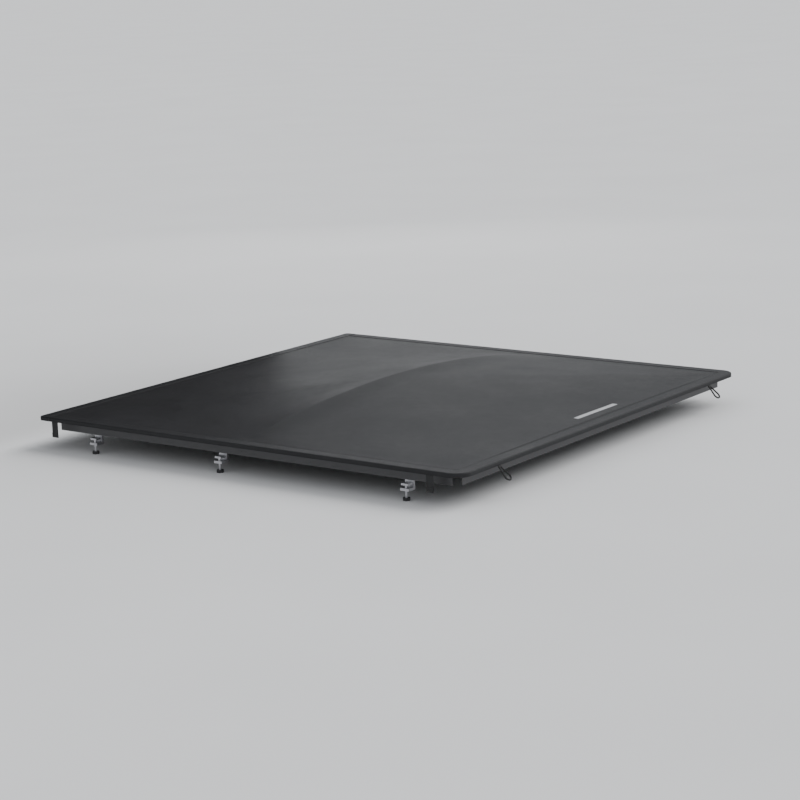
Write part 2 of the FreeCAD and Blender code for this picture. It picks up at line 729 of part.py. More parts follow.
for side in (LEFT, RIGHT):
    brackets = []
    for index in range(CLAMPS_PER_SIDE):
        tag = f"{SIDE_NAMES[side]}_clamp_{index + 1}"
        along = f"(clamp_first + {index} * clamp_step)"
        if index == 1:
            along = f"({along} + clamp_shift)"
        brackets.append(clamp_bracket(f"{tag}_bracket", side, along))
        clamp_bolt(f"{tag}_bolt", side, along)
        clamp_jaw(f"{tag}_jaw", side, along)
    keep(grouped(f"{SIDE_NAMES[side]}_bracket_group", brackets), f"{SIDE_NAMES[side]}_clamp_brackets")

# ---------------------------------------------------------------- pull tabs and loops
for side in (LEFT, RIGHT):
    for end, along in (("front", "front_tab_place"), ("rear", "rear_tab_place")):
        tab = block(f"{SIDE_NAMES[side]}_{end}_tab_block",
                    side_span(side, "tab_start", "tab_start + tab_thick"),
                    (f"{along} - tab_width / 2", f"{along} + tab_width / 2"),
                    ("tab_top - tab_length", "tab_top"))
        keep(tab, f"{SIDE_NAMES[side]}_{end}_pull_tab")


def pull_loop(side):
    """Moulded teardrop loop: two legs that part from the hem and a round bend."""
    bend, foot, length = size["loop_bend"], size["loop_foot"], size["loop_length"]
    radius = size["loop_radius"]
    centre = Vector(0, bend + radius - length, 0)
    reach = math.hypot(foot, centre.y)
    lean = math.atan2(-centre.y, foot) - math.acos(bend / reach)
    touch = centre + Vector(bend * math.cos(lean), bend * math.sin(lean), 0)
    start = Vector(foot, 0, 0)
    path = Part.Wire([
        Part.LineSegment(start, touch).toShape(),
        Part.Arc(touch, centre - Vector(0, bend, 0), Vector(-touch.x, touch.y, 0)).toShape(),
        Part.LineSegment(Vector(-touch.x, touch.y, 0), Vector(-foot, 0, 0)).toShape(),
    ])
    section = Part.Wire([Part.makeCircle(radius, start, touch - start)])
    loop = doc.addObject("Part::Feature", f"{SIDE_NAMES[side]}_loop_shape")
    loop.Shape = path.makePipeShell([section], True, True)
    root = size["front_edge"] - size["cover_length"] - size["loop_inset"]
    loop.Placement = Placement(Vector(side * size["loop_place"], root, -size["loop_drop"]),
                               Rotation(Vector(1, 0, 0), size["loop_angle"]))
    keep(loop, f"{SIDE_NAMES[side]}_pull_loop")


for side in (LEFT, RIGHT):
    pull_loop(side)

# ---------------------------------------------------------------- check and write
doc.recompute()
for thing in doc.Objects:
    if "Invalid" in thing.State or "Error" in thing.State:
        raise SystemExit(f"{thing.Name} ({thing.Label}) failed: {thing.State}")
os.makedirs("parts", exist_ok=True)
for part in SUB_PARTS:
    shape = part.Shape
    if shape.isNull() or not shape.isValid() or not shape.Solids:
        raise SystemExit(f"{part.Label} has no valid shape")
    shape.exportStep(f"parts/{part.Label}.step")
    box = shape.BoundBox
    print(f"{part.Label}: {len(shape.Solids)} solid(s), {shape.Volume / 1000:.1f} cm3, "
          f"x {box.XMin:.1f}..{box.XMax:.1f}, y {box.YMin:.1f}..{box.YMax:.1f}, "
          f"z {box.ZMin:.1f}..{box.ZMax:.1f}")
print(len(SUB_PARTS), "sub-parts")
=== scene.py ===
"""Looks for the soft tonneau cover: a tented vinyl sheet with its hems, tabs and frame, in a plain studio.

Lengths are in metres. x runs across the cover, y along it (rear at the low end), z up from the tub's rim.
"""
import json
import math

import bpy
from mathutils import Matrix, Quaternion, Vector, noise


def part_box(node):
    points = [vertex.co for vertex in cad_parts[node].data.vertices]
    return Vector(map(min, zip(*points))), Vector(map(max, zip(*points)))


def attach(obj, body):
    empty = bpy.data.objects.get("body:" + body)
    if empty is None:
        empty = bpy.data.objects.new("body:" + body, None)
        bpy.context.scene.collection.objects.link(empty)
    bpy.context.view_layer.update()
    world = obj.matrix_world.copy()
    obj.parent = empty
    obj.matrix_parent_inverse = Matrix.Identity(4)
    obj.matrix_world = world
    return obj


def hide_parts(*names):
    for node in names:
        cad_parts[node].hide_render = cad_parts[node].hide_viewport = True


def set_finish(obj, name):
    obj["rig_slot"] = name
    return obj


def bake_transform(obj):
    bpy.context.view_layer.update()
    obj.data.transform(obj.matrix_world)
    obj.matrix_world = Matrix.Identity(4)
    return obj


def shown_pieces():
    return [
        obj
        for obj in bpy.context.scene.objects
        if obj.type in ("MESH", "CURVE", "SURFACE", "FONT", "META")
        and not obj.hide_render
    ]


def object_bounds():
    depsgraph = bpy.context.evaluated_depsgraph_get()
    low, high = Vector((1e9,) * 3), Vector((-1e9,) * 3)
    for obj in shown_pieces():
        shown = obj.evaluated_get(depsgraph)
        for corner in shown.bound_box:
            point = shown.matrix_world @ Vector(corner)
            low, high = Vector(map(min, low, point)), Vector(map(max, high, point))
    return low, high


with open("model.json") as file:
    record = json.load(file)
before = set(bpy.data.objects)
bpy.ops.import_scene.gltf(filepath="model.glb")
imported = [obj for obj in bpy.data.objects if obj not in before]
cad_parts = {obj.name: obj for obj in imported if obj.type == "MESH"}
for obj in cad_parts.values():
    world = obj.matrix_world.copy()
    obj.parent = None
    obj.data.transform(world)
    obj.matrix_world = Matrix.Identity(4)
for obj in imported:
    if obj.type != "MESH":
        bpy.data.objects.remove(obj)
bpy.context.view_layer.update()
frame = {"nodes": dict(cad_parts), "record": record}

# ---------------------------------------------------------------- places, from the frame
NODES = frame["nodes"]
STRIP_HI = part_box("front_fabric_strip")[1]
REAR_LO, REAR_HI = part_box("rear_fabric")
BOW_LO, BOW_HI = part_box("support_bow")

HALF_WIDTH = STRIP_HI.x
FRONT_Y, REAR_Y = STRIP_HI.y, REAR_LO.y
BOW_Y = (BOW_LO.y + BOW_HI.y) / 2
FOLD_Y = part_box("front_fabric")[1].y  # front edge of the sheet that folds
SHEET_Z = STRIP_HI.z                 # top of the flat fabric
SKIRT_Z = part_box("rear_skirt")[0].z  # lower edge of the turned-down hem
CREST_Z = REAR_HI.z                  # top of the fabric over the bow
ARCH_SPAN = 0.745                    # half span of the raised fabric, as the CAD has it
REAR_RADIUS, FRONT_RADIUS = 0.050, 0.015
SIDES = {"left": -1, "right": 1}     # each side's sign on x

# ---------------------------------------------------------------- sizes of the soft goods
HEM_WIDTH = 0.044                    # from the outer edge to the hem band's inner edge
HEM_STEP = 0.0006                    # the band stands this much above the sheet
HEM_GROOVE = 0.0004                  # depth of the groove beside it
GROOVE_LIP, GROOVE_WIDE, GROOVE_END = 0.0006, 0.0012, 0.003  # its rim, its floor and its far end
EDGE_ROLL = 0.004                    # radius of the fold at the outer edge
CLOTH = 0.0012                       # thickness of the coated fabric
FOLD_ZONE = 0.180                    # length of sheet that bends behind the bow
GRID = 0.0125                        # spacing of the sheet's open area
FINE = 0.0055                        # spacing where the sheet bends


# ---------------------------------------------------------------- small helpers
def smooth_step(value):
    """0 below 0, 1 above 1, and a smooth rise between."""
    value = min(1.0, max(0.0, value))
    return value * value * (3 - 2 * value)


def spread(start, end, step):
    """Evenly spaced values from start to end, about step apart, both ends included."""
    count = max(1, round(abs(end - start) / step))
    return [start + (end - start) * i / count for i in range(count + 1)]


def ramp(pairs, value):
    """Straight lines between (value, result) pairs."""
    if value <= pairs[0][0]:
        return pairs[0][1]
    for (low, first), (high, second) in zip(pairs, pairs[1:]):
        if value <= high:
            return first + (second - first) * (value - low) / (high - low)
    return pairs[-1][1]


def ripple(x, y, fine_x, fine_y, layer, height):
    """Smooth fixed noise, up to about height either way. layer picks one of many patterns."""
    return noise.noise(Vector((x * fine_x, y * fine_y, layer))) * height


def grid_faces(columns, rows):
    """Quads of a grid of points stored row by row."""
    return [(j * columns + i, (j + 1) * columns + i, (j + 1) * columns + i + 1, j * columns + i + 1)
            for j in range(rows - 1) for i in range(columns - 1)]


def tube_faces(around, count, first=0):
    """Quads round a tube of count rings of around points each, from point first, and its two end caps."""
    faces = []
    for ring in range(first, first + (count - 1) * around, around):
        for k in range(around):
            a, b = ring + k, ring + (k + 1) % around
            faces.append((a, b, b + around, a + around))
    last = first + (count - 1) * around
    return faces + [tuple(range(first + around - 1, first - 1, -1)), tuple(range(last, last + around))]


def new_object(name, vertices, faces, flat_places=None):
    """A smooth mesh object. flat_places, one pair a vertex, become its UV map, in metres."""
    mesh = bpy.data.meshes.new(name)
    mesh.from_pydata([tuple(v) for v in vertices], [], faces)
    mesh.polygons.foreach_set("use_smooth", [True] * len(mesh.polygons))
    if flat_places:
        layer = mesh.uv_layers.new(name="flat")
        for loop in mesh.loops:
            layer.data[loop.index].uv = flat_places[loop.vertex_index]
    mesh.update()
    thing = bpy.data.objects.new(name, mesh)
    bpy.context.scene.collection.objects.link(thing)
    return thing


def apply_modifiers(thing):
    """Replace an object's mesh by what its modifiers make of it."""
    graph = bpy.context.evaluated_depsgraph_get()
    graph.update()
    made = bpy.data.meshes.new_from_object(thing.evaluated_get(graph), preserve_all_data_layers=True,
                                           depsgraph=graph)
    old = thing.data
    thing.modifiers.clear()
    thing.data = made
    bpy.data.meshes.remove(old)
    return thing


def thicken(thing, thickness=CLOTH):
    """Give an open sheet its thickness, below its upper face."""
    solid = thing.modifiers.new("thickness", "SOLIDIFY")
    solid.thickness = thickness
    solid.offset = -1
    solid.use_even_offset = True
    return apply_modifiers(thing)


# ---------------------------------------------------------------- the tented surface
def arch(x):
    """Height of the bow's arch over the flat sheet, 0 at its ends."""
    share = min(1.0, abs(x) / ARCH_SPAN)
    return (CREST_Z - SHEET_Z) * (1 - share * share)


def tent_guess(x, y):
    """Straight rules from the bow's arch down to the front and rear edges."""
    if y < BOW_Y:
        along = (y - REAR_Y) / (BOW_Y - REAR_Y)
    else:
        along = (FOLD_Y - y) / (FOLD_Y - BOW_Y)
    return arch(x) * min(1.0, max(0.0, along))


CLOTH_STEP = 0.020                   # spacing of the simulated cloth
SIM_FRAMES = 50                      # enough for it to come to rest


def relaxed_tent():
    """Cloth simulation of the sheet, held at its hem and over the bow. Returns its grid lines and heights."""
    reach = HALF_WIDTH - HEM_WIDTH
    xs = spread(-reach, reach, CLOTH_STEP)
    front = spread(FOLD_Y, BOW_Y, CLOTH_STEP)
    rear = spread(BOW_Y, REAR_Y + HEM_WIDTH, CLOTH_STEP)
    ys = front + rear[1:]
    bow_row = len(front) - 1
    rows, columns = len(ys), len(xs)
    vertices = [(x, y, tent_guess(x, y)) for y in ys for x in xs]
    held = [j * columns + i for j in range(rows) for i in range(columns)
            if i in (0, columns - 1) or j in (0, rows - 1, bow_row)]
    sheet = new_object("cloth_guess", vertices, grid_faces(columns, rows))
    sheet.vertex_groups.new(name="held").add(held, 1.0, "REPLACE")
    cloth = sheet.modifiers.new("cloth", "CLOTH")
    settings = cloth.settings
    settings.quality = 8
    settings.mass = 0.5
    settings.tension_stiffness = 80
    settings.compression_stiffness = 40
    settings.shear_stiffness = 20
    settings.bending_stiffness = 2.0
    settings.air_damping = 8
    settings.shrink_min = 0.006
    settings.vertex_group_mass = "held"
    settings.effector_weights.gravity = 0.06
    for number in range(1, SIM_FRAMES + 1):
        bpy.context.scene.frame_set(number)
    settled = sheet.evaluated_get(bpy.context.evaluated_depsgraph_get()).to_mesh()
    heights = [v.co.z for v in settled.vertices]
    bpy.context.scene.frame_set(1)
    bpy.data.objects.remove(sheet)
    return xs, ys, heights


TENT_XS, TENT_YS, TENT_HEIGHTS = relaxed_tent()


def bracket(values, value):
    """Index and share of value between its neighbours in a sorted list, rising or falling."""
    rising = values[-1] > values[0]
    low, high = 0, len(values) - 1
    while high - low > 1:
        middle = (low + high) // 2
        if (values[middle] <= value) == rising:
            low = middle
        else:
            high = middle
    share = (value - values[low]) / (values[high] - values[low])
    return low, min(1.0, max(0.0, share))


def tent_height(x, y):
    """Simulated height above the flat sheet, read between grid points."""
    i, along_x = bracket(TENT_XS, x)
    j, along_y = bracket(TENT_YS, y)
    rows = []
    for row in (j, j + 1):
        at = row * len(TENT_XS) + i
        rows.append(TENT_HEIGHTS[at] * (1 - along_x) + TENT_HEIGHTS[at + 1] * along_x)
    return rows[0] * (1 - along_y) + rows[1] * along_y


HIP_SHARE = 0.55                     # how far the sheet leans towards a hipped shape
HIP_SOFT = 0.003                     # rounding of the crease
HIP_NEAR_BOW = 0.12                  # the lean fades out this close to the bow
EDGE_FADE = 0.06                     # wrinkles and lean fade out this close to the hem
PULL_REACH = 0.16                    # the hem's pull marks reach this far in


def hip_height(x, y):
    """Four flat slopes up to the crown, which meet in a crease to each corner."""
    end = REAR_Y + HEM_WIDTH if y < BOW_Y else FOLD_Y
    slope = (CREST_Z - SHEET_Z) * min(1.0, max(0.0, (y - end) / (BOW_Y - end)))
    side = (CREST_Z - SHEET_Z) * max(0.0, 1 - abs(x) / (HALF_WIDTH - HEM_WIDTH))
    return max(0.0, (slope + side - math.sqrt((slope - side) ** 2 + HIP_SOFT ** 2)) / 2)


def sheet_height(x, y):
    """Height of the open sheet above its flat level, with the crease and faint wrinkles."""
    edge = min(HALF_WIDTH - HEM_WIDTH - abs(x), y - REAR_Y - HEM_WIDTH, FOLD_Y - y)
    free = smooth_step(edge / EDGE_FADE)
    lean = HIP_SHARE * free * smooth_step(abs(y - BOW_Y) / HIP_NEAR_BOW)
    height = tent_height(x, y) * (1 - lean) + hip_height(x, y) * lean
    waves = ripple(x, y, 3.1, 2.3, 4.7, 0.0011) + ripple(x, y, 9.0, 6.5, 1.3, 0.00035)
    pull = ripple(x, y, 26.0, 5.0, 9.1, 0.0006) * smooth_step(1 - edge / PULL_REACH)
    return height + (waves + pull) * free


# ---------------------------------------------------------------- the sheet with its hem
def hem_lift(edge):
    """The hem band stands proud out to its edge, with a sewn-in groove on its inner side."""
    return ramp([(HEM_WIDTH - GROOVE_LIP, HEM_STEP), (HEM_WIDTH, -HEM_GROOVE),
                 (HEM_WIDTH + GROOVE_WIDE, -HEM_GROOVE), (HEM_WIDTH + GROOVE_END, 0.0)], edge)


def hem_puff(x, y):
    """The hem band's soft unevenness."""
    return ripple(x, y, 17.0, 17.0, 6.0, 0.0003)


def rounded(x, y, radius, corner_y, towards):
    """Pull a point of a square corner onto a round one. Returns its place, edge distance and outward way."""
    across = abs(x) - (HALF_WIDTH - radius)
    along = (y - corner_y) * towards + radius
    side = -1 if x < 0 else 1
    if across > 0 and along > 0:
        pulled = max(across, along) / math.hypot(across, along)
        across, along = across * pulled, along * pulled
        out = math.hypot(across, along)
        place = (side * (HALF_WIDTH - radius + across), corner_y + towards * (along - radius))
        return place, radius - out, (side * across / out, towards * along / out)
    if radius - across < radius - along:
        return (x, y), radius - across, (side, 0.0)
    return (x, y), radius - along, (0.0, towards)


ROLL_STEPS = (18, 36, 54, 72, 90)    # degrees round the folded edge
SKIRT_STEPS = 3                      # rows down the turned-down part
SAME_LINE = 1e-9                     # grid lines nearer than this are the same


def hemmed_sheet(name, xs, ys, radius, corner_y, towards, height, skirt_from):
    """A sheet on grid lines xs and ys with a rounded pair of corners at corner_y, and its turned-down edge.

    height(x, y, edge) is its top. The edge runs round three sides, from the first side point past skirt_from.
    """
    vertices, flat, faces = [], [], []
    columns, rows = len(xs), len(ys)
    border = {}
    for j, y in enumerate(ys):
        for i, x in enumerate(xs):
            place, edge, out = rounded(x, y, radius, corner_y, towards)
            vertices.append((*place, height(*place, edge)))
            flat.append(place)
            if i in (0, columns - 1) or j == rows - 1:
                border[(i, j)] = out
    faces += [quad if towards < 0 else quad[::-1] for quad in grid_faces(columns, rows)]
    first = next(j for j in range(rows) if (ys[j] - skirt_from) * towards >= -SAME_LINE)
    loop = ([(0, j) for j in range(first, rows)] + [(i, rows - 1) for i in range(1, columns)]
            + [(columns - 1, j) for j in range(rows - 2, first - 1, -1)])
    last_ring = []
    for i, j in loop:
        at = j * columns + i
        x, y, z = vertices[at]
        out = border[(i, j)]
        ring = [at]
        for angle in ROLL_STEPS:
            reach = EDGE_ROLL * math.sin(math.radians(angle))
            drop = EDGE_ROLL * (1 - math.cos(math.radians(angle)))
            ring.append(len(vertices))
            vertices.append((x + out[0] * reach, y + out[1] * reach, z - drop))
            run = EDGE_ROLL * math.radians(angle)
            flat.append((x + out[0] * run, y + out[1] * run))
        low = z - EDGE_ROLL
        for step in range(1, SKIRT_STEPS + 1):
            share = step / SKIRT_STEPS
            sway = share * ripple(x, y, 14.0, 14.0, 2.2, 0.0004)
            ring.append(len(vertices))
            vertices.append((x + out[0] * (EDGE_ROLL + sway), y + out[1] * (EDGE_ROLL + sway),
                             low + (SKIRT_Z - low) * share))
            run = EDGE_ROLL * math.pi / 2 + (low - SKIRT_Z) * share
            flat.append((x + out[0] * run, y + out[1] * run))
        if last_ring:
            for k in range(len(ring) - 1):
                quad = (last_ring[k], last_ring[k + 1], ring[k + 1], ring[k])
                faces.append(quad if towards < 0 else quad[::-1])
        last_ring = ring
    return thicken(new_object(name, vertices, faces, flat))


def mirrored(insets):
    """Grid lines from edge to edge: the insets from both edges, and even spacing between."""
    half = insets + spread(insets[-1], HALF_WIDTH, GRID)[1:]
    return [d - HALF_WIDTH for d in half] + [HALF_WIDTH - d for d in reversed(half[:-1])]


# grid lines, as distances in from the outer edge: over the hem band's inner edge, and out to that from the edge
HEM_LINES = [HEM_WIDTH - 0.0018, HEM_WIDTH - GROOVE_LIP, HEM_WIDTH,
             HEM_WIDTH + GROOVE_WIDE, HEM_WIDTH + GROOVE_END]
REAR_INSETS = [EDGE_ROLL, 0.008, 0.014, 0.021, 0.028, 0.035] + HEM_LINES + [REAR_RADIUS]
BOW_LINES = [0.030, 0.022, 0.015, 0.009, 0.004, 0.0]  # in front of the bow's middle
LAP_START, LAP_LONG = 0.003, 0.006   # the sheet's band rises behind the front hem's edge
FRONT_BITE, FRONT_STEP = 0.012, 0.004  # fine rows beside the front fold, and their spacing


def cover_top(x, y, edge):
    """Top of the folding sheet: hem band round three sides, tent between."""
    lap = smooth_step((FOLD_Y - LAP_START - y) / LAP_LONG)
    lift = hem_lift(edge) * lap
    if edge < HEM_WIDTH:
        return SHEET_Z + lift + hem_puff(x, y) * lap
    return SHEET_Z + lift + sheet_height(x, y)


def make_cover():
    """The sheet from the front fold to the rear edge, with a finer grid behind the bow."""
    zone_end = BOW_Y - FOLD_ZONE - 0.010
    ys = spread(FOLD_Y, FOLD_Y - FRONT_BITE, FRONT_STEP)[:-1]
    ys += spread(FOLD_Y - FRONT_BITE, BOW_Y + BOW_LINES[0], GRID)[:-1] + [BOW_Y + d for d in BOW_LINES]
    ys += spread(BOW_Y, zone_end, FINE)[1:]
    ys += spread(zone_end, REAR_Y + REAR_RADIUS, GRID)[1:]
    ys += [REAR_Y + d for d in reversed(REAR_INSETS[:-1])]
    cover = hemmed_sheet("cover_sheet", mirrored(REAR_INSETS), ys, REAR_RADIUS, REAR_Y, -1, cover_top, FOLD_Y)
    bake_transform(cover)
    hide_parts("front_fabric", "rear_fabric", "rear_skirt", "left_front_skirt", "right_front_skirt")
    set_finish(cover, "cover_vinyl")


LAP = 0.0022                         # the front hem lies this far over the sheet
LAP_STEP = 0.00045                   # and this much higher there
LAP_RISE = 0.006                     # length over which it gains that height
HEM_GAP = 0.0001                     # between the two skirts at the fold


def front_hem_top(x, y, edge):
    """Top of the front hem band, a little higher where it laps over the sheet."""
    over = LAP_STEP * smooth_step((FOLD_Y + LAP_RISE - y) / LAP_RISE)
    return SHEET_Z + HEM_STEP + over + hem_puff(x, y)


def make_front_hem():
    """The band along the cab, held to the front rail, whose inner edge is the front fold."""
    insets = [EDGE_ROLL, 0.0075, 0.011, FRONT_RADIUS]
    side_lines = insets + [0.021, 0.028, 0.035] + HEM_LINES + [REAR_RADIUS]
    ys = [FOLD_Y - LAP, FOLD_Y - 0.001, FOLD_Y + HEM_GAP]
    ys += spread(FOLD_Y + HEM_GAP, FOLD_Y + 0.011, 0.0018)[1:]
    ys += spread(ys[-1], FRONT_Y - FRONT_RADIUS, 0.005)[1:] + [FRONT_Y - d for d in reversed(insets[:-1])]
    hem = hemmed_sheet("front_hem", mirrored(side_lines), ys, FRONT_RADIUS, FRONT_Y, 1, front_hem_top,
                       FOLD_Y + HEM_GAP)
    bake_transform(hem)
    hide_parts("front_fabric_strip", "front_skirt")
    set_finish(hem, "cover_vinyl")


# ---------------------------------------------------------------- stitching
STITCH_PITCH, STITCH_LONG, STITCH_WIDE = 0.0062, 0.0043, 0.0010
STITCH_INSET = HEM_WIDTH - 0.003     # the seam, from the outer edge
STITCH_PROUD = 0.00018               # the seam's middle line, above the band
# along the stitch, its thickness there, and its height there
STITCH_RINGS = ((-0.5, 0.15, -0.00045), (-0.30, 0.85, 0.0001), (0.0, 1.0, 0.00022), (0.30, 0.85, 0.0001),
                (0.5, 0.15, -0.00045))
STITCH_SIDES = 6


def add_stitch(vertices, faces, place, along, up):
    """One thread loop: a short lozenge lying along the seam, its ends down in the cloth."""
    across = up.cross(along).normalized()
    first = len(vertices)
    for reach, share, lift in STITCH_RINGS:
        middle = place + along * (reach * STITCH_LONG) + up * lift
        for side in range(STITCH_SIDES):
            angle = 2 * math.pi * side / STITCH_SIDES
            vertices.append(middle + across * (math.cos(angle) * share * STITCH_WIDE / 2)
                            + up * (math.sin(angle) * share * STITCH_WIDE / 2))
    faces += tube_faces(STITCH_SIDES, len(STITCH_RINGS), first)


def stitch_row(name, path, height):
    """A row of stitches along path, (x, y) points. height(x, y) is the cloth's top."""
    vertices, faces = [], []
    walked, due = 0.0, STITCH_PITCH / 2
    for (x0, y0), (x1, y1) in zip(path, path[1:]):
        length = math.hypot(x1 - x0, y1 - y0)
        while walked + length >= due and length > 0:
            share = (due - walked) / length
            x, y = x0 + (x1 - x0) * share, y0 + (y1 - y0) * share
            along = Vector((x1 - x0, y1 - y0, 0)).normalized()
            add_stitch(vertices, faces, Vector((x, y, height(x, y))), along, Vector((0, 0, 1)))
            due += STITCH_PITCH
        walked += length
    row = new_object(name, vertices, faces)
    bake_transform(row)
    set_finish(row, "cover_vinyl")


def hem_path(inset, start_y):
    """(x, y) points down the left side, round the two rear corners and up the right side."""
    turn = REAR_RADIUS - inset
    side, rear = HALF_WIDTH - inset, REAR_Y + inset
    path = [(-side, start_y), (-side, REAR_Y + REAR_RADIUS)]
    corner = (HALF_WIDTH - REAR_RADIUS, REAR_Y + REAR_RADIUS)
    for step in range(1, 10):
        angle = math.radians(10 * step)
        path.append((-corner[0] - turn * math.cos(angle), corner[1] - turn * math.sin(angle)))
    path.append((-corner[0], rear))
    return path + [(-x, y) for x, y in reversed(path)]


def make_seams():
    """The seam round the hem of the sheet, and the one along the front hem."""
    band_top = SHEET_Z + HEM_STEP + STITCH_PROUD
    seam_start = FOLD_Y - 0.008
    stitch_row("cover_seam", hem_path(STITCH_INSET, seam_start), lambda x, y: band_top + hem_puff(x, y))
    seam_end = HALF_WIDTH - 0.010
    seam_y = FRONT_Y - STITCH_INSET
    stitch_row("front_seam", [(-seam_end, seam_y), (seam_end, seam_y)],
               lambda x, y: band_top + LAP_STEP + hem_puff(x, y))


# ---------------------------------------------------------------- small pieces on the sheet
PATCH_LONG, PATCH_WIDE, PATCH_X = 0.235, 0.018, 0.050
PATCH_INSET = 0.088                  # from the rear edge
PATCH_ROUND = 0.004                  # radius of its corners
PATCH_RIM, PATCH_RISE = 0.002, 0.0004  # its edge slopes up this far in, by this much
PATCH_LOW, PATCH_THICK = 0.0002, 0.0006


def make_patch():
    """A blank pale strip welded on the sheet near its rear edge."""
    vertices, flat, faces = [], [], []
    xs, ys = spread(-PATCH_LONG / 2, PATCH_LONG / 2, 0.0045), spread(-PATCH_WIDE / 2, PATCH_WIDE / 2, 0.002)
    flat_x, flat_y = PATCH_LONG / 2 - PATCH_ROUND, PATCH_WIDE / 2 - PATCH_ROUND
    for y in ys:
        for x in xs:
            past_x, past_y = abs(x) - flat_x, abs(y) - flat_y
            px, py = x, y
            if past_x > 0 and past_y > 0:
                pull = max(past_x, past_y) / math.hypot(past_x, past_y)
                px = math.copysign(flat_x + past_x * pull, x)
                py = math.copysign(flat_y + past_y * pull, y)
            place = (PATCH_X + px, REAR_Y + PATCH_INSET + py)
            rim = min(PATCH_LONG / 2 - abs(px), PATCH_WIDE / 2 - abs(py))
            lift = PATCH_LOW + PATCH_RISE * smooth_step(rim / PATCH_RIM)
            vertices.append((*place, SHEET_Z + sheet_height(*place) + lift))
            flat.append(place)
    columns = len(xs)
    for j in range(len(ys) - 1):
        for i in range(columns - 1):
            faces.append((j * columns + i, j * columns + i + 1, (j + 1) * columns + i + 1, (j + 1) * columns + i))
    patch = thicken(new_object("blank_patch", vertices, faces, flat), PATCH_THICK)
    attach(patch, "rear_panel")
    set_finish(patch, "cover_vinyl")
    return patch


STRIP_BEVEL = 0.0004


def make_clip_strips():
    """The sewn-in strips along the rear sides."""
    for side in SIDES:
        node = f"{side}_rear_clip_strip"
        low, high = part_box(node)
        section = [(low.x + STRIP_BEVEL, low.z), (high.x - STRIP_BEVEL, low.z),
                   (high.x, low.z + STRIP_BEVEL), (high.x, high.z - STRIP_BEVEL),
                   (high.x - STRIP_BEVEL, high.z), (low.x + STRIP_BEVEL, high.z),
                   (low.x, high.z - STRIP_BEVEL), (low.x, low.z + STRIP_BEVEL)]
        ys = spread(high.y, low.y, FINE)
        vertices = [(x, y, z) for y in ys for x, z in section]
        strip = new_object(f"{side}_rear_strip", vertices, tube_faces(len(section), len(ys)))
        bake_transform(strip)
        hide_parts(node)
        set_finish(strip, "clip_plastic")


TAB_THICK = 0.0013
TAB_TUCK = 0.003                     # the tab's top, hidden behind the hem
TAB_FOLD = 0.014                     # length of webbing turned back at the tab's end
TAB_LOW = 0.0012                     # the fold's middle, above the tab's lower end
TAB_GAP = 0.0004                     # between the tab and its turned-back end
TAB_TURN_WIDE, TAB_TURN_DEEP = TAB_THICK * 0.55, 0.0011  # half width and depth of the fold's centre line
TAB_BOW, TAB_CUP = 0.0004, 0.0003    # the webbing's slight curve down its length and across it
TAB_ROWS, TAB_END_ROWS = 16, 5
TAB_BEVEL = 0.0004
BOX_RIM, BOX_LOW, BOX_TOP = 0.003, 0.002, 0.001  # the box stitching's distance from the sides, end and edge
BOX_PITCH, BOX_SHORT = 0.0032, 0.6   # its stitches' spacing, and their length against the seam's
BOX_PROUD = 0.0001                   # their middle line, off the webbing


